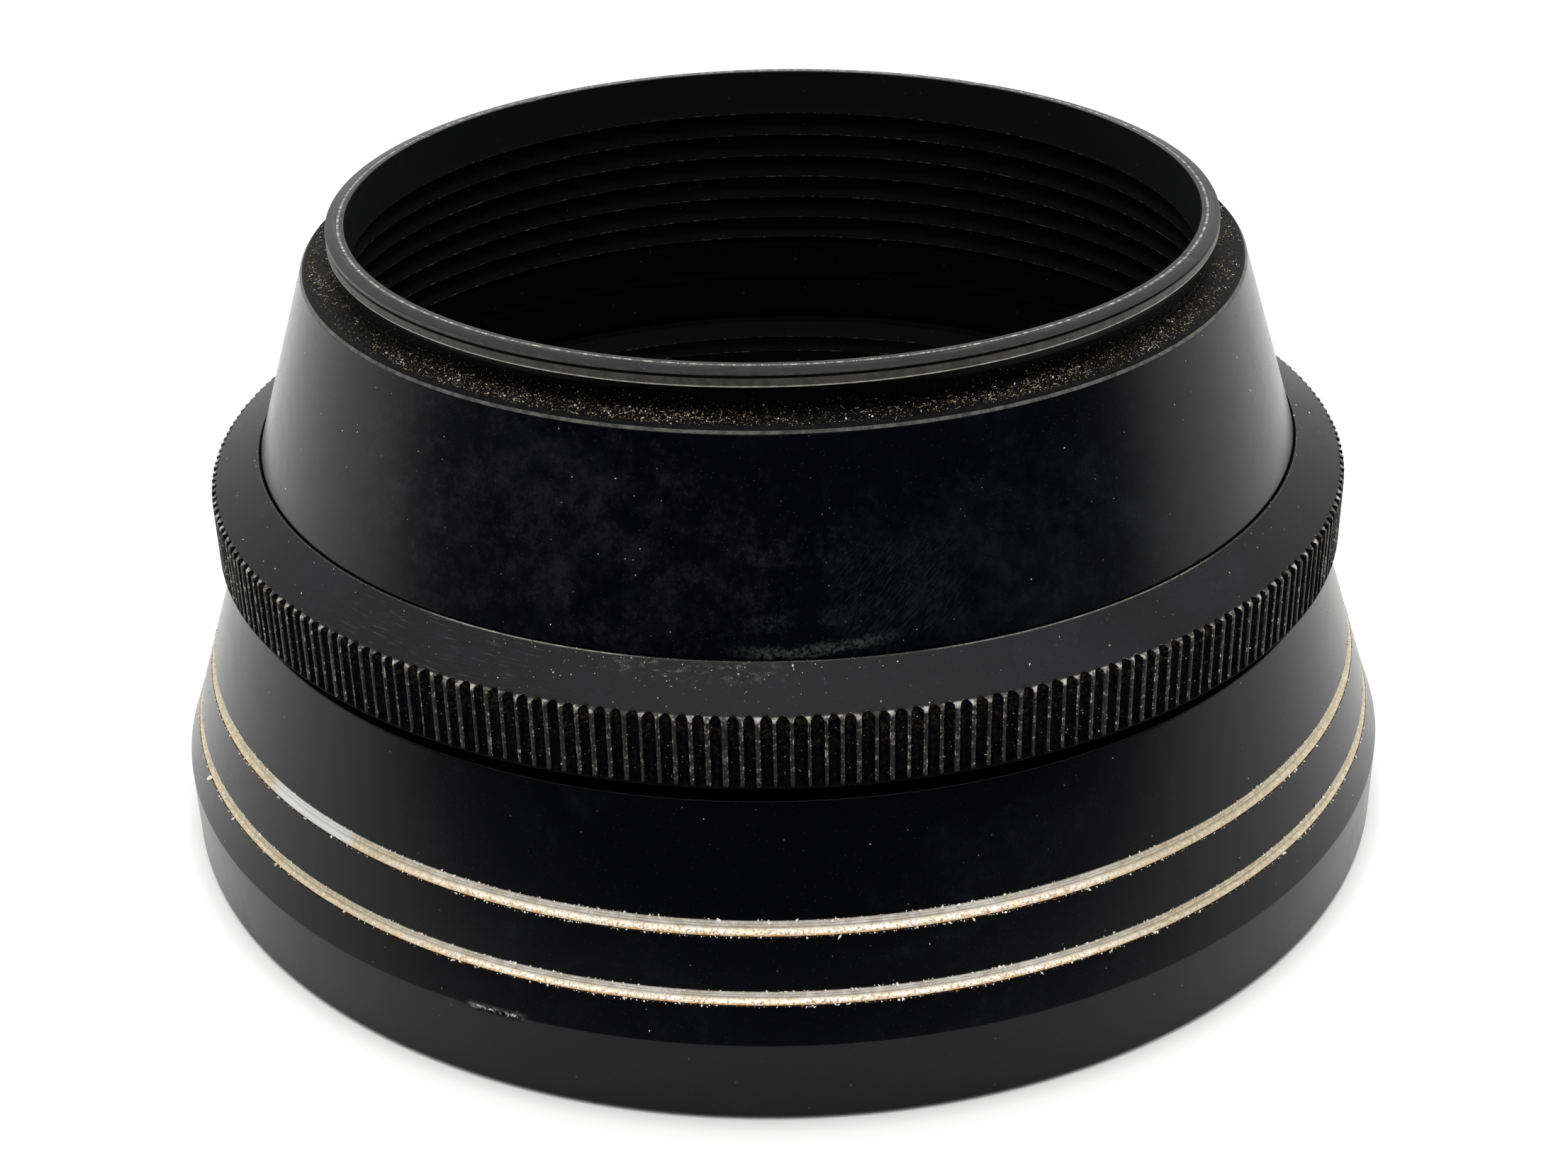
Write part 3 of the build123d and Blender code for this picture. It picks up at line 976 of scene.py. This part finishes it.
def lint(name, centres, spans, lengths, random, section, material, thickness):
    """Short curved fibres lying along the surface; spans are two tangents per fibre, shape (n, 2, 3)."""
    widths = np.array([0.35, 0.9, 1, 1, 1, 0.9, 0.35])
    count, steps = len(centres), len(widths)
    heading = random.uniform(0, 2 * math.pi, count)
    bend = random.normal(0, 1.6, count)
    t = np.linspace(-0.5, 0.5, steps)
    angle = heading[:, None] + bend[:, None] * t[None, :]
    step = lengths[:, None] / steps
    across = np.cumsum(np.cos(angle) * step, axis=1)
    along = np.cumsum(np.sin(angle) * step, axis=1)
    line = centres[:, None, :] + across[..., None] * spans[:, None, 0] + along[..., None] * spans[:, None, 1]
    side = np.cross(spans[:, 0], spans[:, 1])[:, None, :]
    tangent = np.gradient(line, axis=1)
    tangent /= np.linalg.norm(tangent, axis=-1, keepdims=True)
    flat = np.cross(tangent, side)
    reach = widths[None, :, None] * thickness / 2
    turns = np.arange(3) * 2 * math.pi / 3
    corners = [line + reach * (math.cos(a) * flat + math.sin(a) * side) for a in turns]
    vertices = np.stack(corners, axis=2).reshape(-1, 3)
    faces = []
    for i in range(steps - 1):
        for j in range(3):
            a, b = 3 * i + j, 3 * i + (j + 1) % 3
            faces += [(a, b, b + 3), (a, b + 3, a + 3)]
    last = 3 * (steps - 1)
    faces += [(0, 2, 1), (last, last + 1, last + 2)]
    faces = (np.array(faces)[None] + 3 * steps * np.arange(count)[:, None, None]).reshape(-1, 3)
    lay(name, vertices, faces, section, material)


def ring_tangents(azimuth, slope):
    """Round-the-ring and up-the-surface tangents; slope is the surface's lean from level, in radians."""
    zero = np.zeros_like(azimuth)
    around = np.stack((np.cos(azimuth), np.sin(azimuth), zero), axis=-1)
    inward = np.stack((-np.sin(azimuth), np.cos(azimuth), zero), axis=-1)
    up = np.array((0.0, 0.0, 1.0))
    return np.stack((around, inward * math.cos(slope) + up * math.sin(slope)), axis=1)


def drifts(random, count, seed):
    """Azimuths that gather in drifts round the ring; one seed gives one set of drifts."""
    trial = random.uniform(-math.pi, math.pi, count * 4)
    weight = np.clip(0.62 + 0.198 * waves(trial, seed, 1, 12, 9), 0.15, 1)
    return trial[random.uniform(0, 1, count * 4) < weight][:count]


def sprinkle(name, count, seed, heights, surface_r, sizes, random, section, material):
    """Separate specks all over a cone, whose radius is surface_r(z)."""
    azimuth = drifts(random, count, seed)
    z = random.uniform(*heights, count)
    size = random.uniform(*sizes, count)
    grains(name, at(azimuth, surface_r(z) + 0.1 * size, z), size, random, section, material)


def dirty_shoulder(random, brown, pale):
    """Thick drifts of brown dirt, flecks and lint on the flat shoulder and a little way up the neck."""
    azimuth = drifts(random, 7500, SHOULDER_DRIFTS)
    r = shoulder_flat_r - 0.12 - (shoulder_flat_r - relief_r - 0.15) * random.beta(1.1, 1.3, len(azimuth))
    size = random.gamma(3.0, 0.017, len(azimuth)) + 0.018
    grains("shoulder_dirt", at(azimuth, r, shoulder_z + 0.2 * size), size, random, REAR, brown)

    azimuth = drifts(random, 2200, SHOULDER_DRIFTS)
    size = random.gamma(3.0, 0.012, len(azimuth)) + 0.012
    z = shoulder_z + 0.03 + 1.1 * random.beta(1.0, 2.6, len(azimuth))
    grains("neck_dirt", at(azimuth, relief_r + 0.15 * size, z), size, random, REAR, brown)

    clumps, in_clump = drifts(random, 300, SHOULDER_DRIFTS), 4
    azimuth = np.repeat(clumps, in_clump) + random.normal(0, 0.009, in_clump * len(clumps))
    clump_r = random.uniform(relief_r + 0.5, shoulder_flat_r - 0.3, len(clumps))
    r = np.repeat(clump_r, in_clump) + random.normal(0, 0.14, len(azimuth))
    r = np.clip(r, relief_r + 0.1, shoulder_flat_r - 0.1)
    size = random.gamma(3.0, 0.019, len(azimuth)) + 0.02
    grains("shoulder_flecks", at(azimuth, r, shoulder_z + 0.25 * size), size, random, REAR, pale)

    azimuth = drifts(random, 420, SHOULDER_DRIFTS)
    r = random.uniform(relief_r + 0.25, shoulder_flat_r - 0.25, len(azimuth))
    spans = ring_tangents(azimuth, random.uniform(0.0, 0.5))
    centres = at(azimuth, r, np.full(len(azimuth), shoulder_z + 0.06))
    lengths = random.uniform(0.12, 0.5, len(azimuth))
    lint("shoulder_lint", centres, spans, lengths, random, REAR, pale, 0.018)


def dirty_crown(random, brown, grit, pale):
    """Specks gathered near the crown's inner edge, and dust caught in the seam beside the cone."""
    azimuth = np.concatenate((np.radians(random.normal(-12, 11, 110)), drifts(random, 160, CROWN_DRIFTS)))
    size = random.gamma(1.8, 0.022, len(azimuth)) + 0.03
    r = lip_bore_r + 0.15 + 3.2 * random.beta(0.7, 1.6, len(azimuth))
    grains("crown_specks", at(azimuth, r, crown_z(r) + 0.1 * size), size, random, RING, pale)

    azimuth = drifts(random, 1300, CROWN_DRIFTS)
    size = random.uniform(*grit_sizes, len(azimuth))
    r = random.uniform(lip_bore_r + 0.15, ring_r - 0.55, len(azimuth))
    grains("crown_grit", at(azimuth, r, crown_z(r) + 0.1 * size), size, random, RING, grit)

    azimuth = drifts(random, 1100, SEAM_DRIFTS)
    size = random.gamma(2.4, 0.014, len(azimuth)) + 0.015
    r = lip_bore_r + 0.12 + random.uniform(0, 0.14, len(azimuth))
    z = ring_crown_z + random.uniform(-0.04, 0.01, len(azimuth))
    grains("seam_dust", at(azimuth, r, z), size, random, RING, brown)


def dirty_knurl(random, brown, pale):
    """Dirt packed in the knurl's grooves."""
    azimuth = drifts(random, 3200, KNURL_DIRT_DRIFTS)
    z = random.uniform(knurl_bottom_z + 0.1, ring_edge_z - 0.1, len(azimuth))
    size = random.gamma(2.6, 0.014, len(azimuth)) + 0.015
    grains("knurl_dirt", at(azimuth, ring_r - groove(azimuth) + 0.1 * size, z), size, random, RING, brown)

    azimuth = drifts(random, 700, KNURL_FLECK_DRIFTS)
    z = knurl_bottom_z + (ring_edge_z - knurl_bottom_z) * random.beta(0.8, 1.6, len(azimuth))
    size = random.gamma(2.6, 0.014, len(azimuth)) + 0.015
    grains("knurl_flecks", at(azimuth, ring_r - groove(azimuth) + 0.1 * size, z), size, random, RING, pale)


def dirty_trims(random, cream, rust):
    """Cream specks along both edges of each trim ring, and rust along its lower edge."""
    trims = ((upper_trim_low, upper_trim_high), (lower_trim_low, lower_trim_high))
    centres, sizes = [], []
    for low, high in trims:
        for edge, count in ((low - 0.02, 620), (high + 0.02, 820)):
            azimuth = drifts(random, count, SPECK_DRIFTS)
            size = random.gamma(2.0, 0.036, len(azimuth)) + 0.03
            z = edge + random.normal(0, 0.035, len(azimuth))
            centres.append(at(azimuth, shade_r(z) + 0.12 * size, z))
            sizes.append(size)
    grains("shade_specks", np.concatenate(centres), np.concatenate(sizes), random, FRONT, cream)

    centres, sizes = [], []
    for low, _ in trims:
        azimuth = drifts(random, 1100, RUST_DRIFTS)
        z = low - 0.01 + random.normal(0, 0.03, len(azimuth))
        size = random.gamma(2.2, 0.020, len(azimuth)) + 0.025
        centres.append(at(azimuth, shade_r(z) + 0.05 * size, z))
        sizes.append(size)
    grains("trim_rust", np.concatenate(centres), np.concatenate(sizes), random, FRONT, rust)


def scatter_dust():
    random = np.random.default_rng(64)
    brown = grain_finish("dirt_brown", (0.40, 0.34, 0.22), (0.030, 0.024, 0.016))
    grit = grain_finish("dirt_dim", (0.10, 0.09, 0.08), (0.03, 0.03, 0.03))
    pale = grain_finish("dirt_pale", (0.85, 0.82, 0.72), (0.48, 0.42, 0.28))
    cream = grain_finish("dirt_cream", (0.95, 0.93, 0.86), (0.74, 0.66, 0.48))
    rust = grain_finish("dirt_rust", (0.50, 0.27, 0.08), (0.13, 0.06, 0.02))
    cone_heights = (cone_foot_z + 0.2, shoulder_edge_z - 0.2)
    shade_heights = (band_top_z + 0.3, neck_foot_z - 0.2)

    dirty_shoulder(random, brown, pale)
    sprinkle("cone_specks", 110, CONE_DRIFTS, cone_heights, cone_r, (0.05, 0.13), random, REAR, pale)
    sprinkle("cone_grit", 1700, CONE_DRIFTS, cone_heights, cone_r, grit_sizes, random, REAR, grit)
    dirty_crown(random, brown, grit, pale)
    dirty_knurl(random, brown, pale)
    dirty_trims(random, cream, rust)
    sprinkle("shade_flecks", 110, SHADE_DRIFTS, shade_heights, shade_r, (0.05, 0.12), random, FRONT, pale)
    sprinkle("shade_grit", 1700, SHADE_DRIFTS, shade_heights, shade_r, (0.022, 0.048), random, FRONT, grit)


def raise_burrs():
    """Metal pushed up in ragged flakes where the band's two edges were knocked."""
    random = np.random.default_rng(77)
    per_degree = 16
    centres, sizes = [], []
    for first, last, r, z, sag, largest in (
        (-26.9, -24.2, band_r - 0.13, band_top_z + 0.02, 0.05, 0.22),
        (-23.4, -22.3, band_r - 0.13, band_top_z - 0.01, 0.03, 0.26),
        (-33.4, -32.6, band_r - 0.30, 0.20, 0.03, 0.18),
        (-31.4, -28.6, band_r - 0.29, 0.24, 0.10, 0.32),
    ):
        count = int((last - first) * per_degree)
        place = np.sort(random.uniform(0, 1, count))
        azimuth = np.radians(first + (last - first) * place)
        size = largest * random.uniform(0.35, 1.0, count) * (0.45 + 0.55 * np.sin(math.pi * place))
        height = z + sag * np.sin(place * 9 + first) + random.normal(0, 0.025, count)
        centres.append(at(azimuth, np.full(count, r), np.maximum(height, 0.55 * size)))
        sizes.append(size)
    metal = bare_flake("flake_metal")
    grains("edge_burrs", np.concatenate(centres), np.concatenate(sizes), random, FRONT, metal)


scatter_dust()
raise_burrs()


# ---------------- stage, light and camera

world_light = 1.34
dark_room = 0.006           # what is left of that light low down on the front side


def sheet(name, left, right, front, back, height):
    """A level rectangle, in metres."""
    mesh = bpy.data.meshes.new(name)
    corners = [(left, front), (right, front), (right, back), (left, back)]
    mesh.from_pydata([(*corner, height) for corner in corners], [], [(0, 1, 2, 3)])
    item = bpy.data.objects.new(name, mesh)
    bpy.context.scene.collection.objects.link(item)
    return item


def plain_material(name, colour):
    material = bpy.data.materials.new(name)
    material.use_nodes = True
    shader = material.node_tree.nodes["Principled BSDF"]
    shader.inputs["Base Color"].default_value = (*colour, 1)
    return material, shader


def build_floor():
    half = 2.5
    floor = sheet("floor", -half, half, -half, half, 0)
    material, shader = plain_material("floor_white", (0.97, 0.968, 0.962))
    shader.inputs["Roughness"].default_value = 0.7
    floor.data.materials.append(material)


def build_flag():
    """Black card lying in front of the hood, seen only in its gloss: the table ends there."""
    reach, gap, lift = 2.4, 0.100, 0.0004
    flag = sheet("flag", -reach, reach, -reach, -gap, lift)
    material, shader = plain_material("flag_black", (0, 0, 0))
    shader.inputs["Specular IOR Level"].default_value = 0
    flag.data.materials.append(material)
    flag.visible_camera = False
    flag.visible_diffuse = False
    flag.visible_shadow = False
    flag.visible_transmission = False


def build_world():
    """White studio, lit from behind and above, with the dark room low down on the front side."""
    world = bpy.data.worlds.new("studio")
    bpy.context.scene.world = world
    world.use_nodes = True
    nodes = Nodes(world.node_tree)
    background = nodes.tree.nodes["Background"]
    background.inputs["Color"].default_value = (1, 1, 1, 1)
    _, towards_back, upwards = nodes.split(nodes.node("ShaderNodeTexCoord").outputs["Generated"])
    in_front = nodes.step(towards_back, -0.25, 0.25, 1.0, 0.0)
    low_down = nodes.step(upwards, 0.30, 0.70, 1.0, 0.0)
    strength = nodes.step(nodes.times(in_front, low_down), 0.0, 1.0, world_light, dark_room)
    seen = nodes.node("ShaderNodeLightPath").outputs["Is Camera Ray"]
    nodes.put(background.inputs["Strength"], nodes.most(seen, strength))


def area_light(name, place, target, size, power):
    data = bpy.data.lights.new(name, "AREA")
    data.shape = "DISK"
    data.size = size
    data.energy = power
    light = bpy.data.objects.new(name, data)
    light.location = place
    light.rotation_mode = "QUATERNION"
    light.rotation_quaternion = (Vector(target) - Vector(place)).to_track_quat("-Z", "Y")
    bpy.context.scene.collection.objects.link(light)


def build_camera():
    """Camera at a distance from the point it aims at, turned by an azimuth, an elevation and a roll."""
    azimuth, elevation, roll = math.radians(0.096), math.radians(28.534), math.radians(-1.160)
    distance = 0.18380
    aim = Vector((0.00027, 0.0, 0.01340))
    ahead = Vector((math.sin(azimuth), math.cos(azimuth), 0))
    forward = ahead * math.cos(elevation) - Vector((0, 0, math.sin(elevation)))
    level = Vector((math.cos(azimuth), -math.sin(azimuth), 0))
    upright = level.cross(forward)
    right = level * math.cos(roll) + upright * math.sin(roll)
    up = upright * math.cos(roll) - level * math.sin(roll)
    data = bpy.data.cameras.new("camera")
    data.lens = 55.33
    data.sensor_width = 36.0
    data.sensor_fit = "HORIZONTAL"
    data.clip_start = 0.005
    data.clip_end = 20
    camera = bpy.data.objects.new("camera", data)
    facing = Matrix((right, up, -forward)).transposed().to_4x4()
    camera.matrix_world = Matrix.Translation(aim - forward * distance) @ facing
    bpy.context.scene.collection.objects.link(camera)
    bpy.context.scene.camera = camera


build_floor()
build_flag()
build_world()
area_light("overhead", place=(0, 0.05, 0.75), target=(0, 0, 0), size=0.7, power=3.0)
build_camera()
bpy.context.scene.view_settings.view_transform = "Standard"
